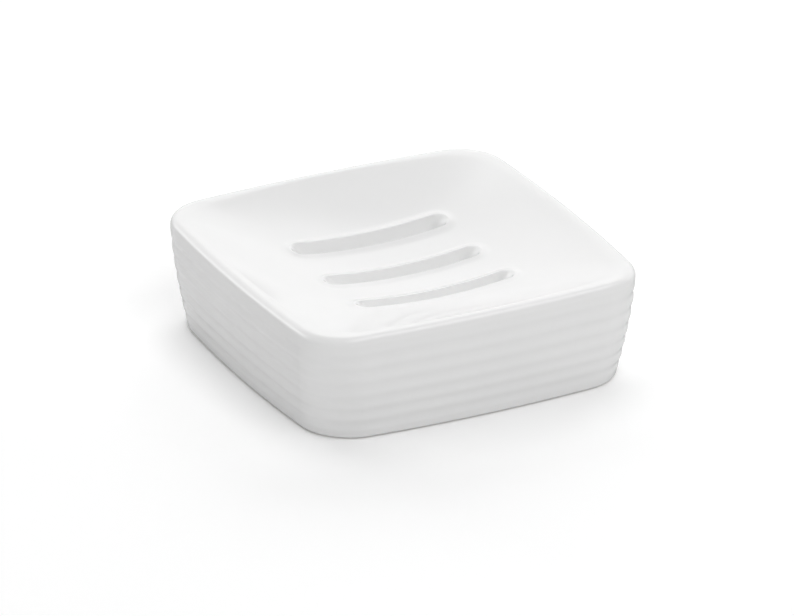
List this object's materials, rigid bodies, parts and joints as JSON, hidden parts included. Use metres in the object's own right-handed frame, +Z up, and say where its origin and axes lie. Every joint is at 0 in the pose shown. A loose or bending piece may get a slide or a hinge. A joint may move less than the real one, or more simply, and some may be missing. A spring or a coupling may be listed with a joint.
{
  "type": "soap dish",
  "caption": "Square white porcelain soap dish with softly ribbed sides, a shallow recess with drain grooves and thin grip pads under the foot.",
  "frame": {"origin": "centre of the footprint, on the surface that the dish stands on", "axes": "+Z up out of the recess, +X along the drain grooves to the right, -Y towards the front"},
  "size_m": [0.11, 0.11, 0.0334],
  "materials": {
    "porcelain": "gloss",
    "pad": "matte"
  },
  "bodies": {
    "root": {"dish_body": "porcelain", "pad_front_left": "pad", "pad_front_right": "pad", "pad_rear_left": "pad", "pad_rear_right": "pad"}
  },
  "joints": []
}
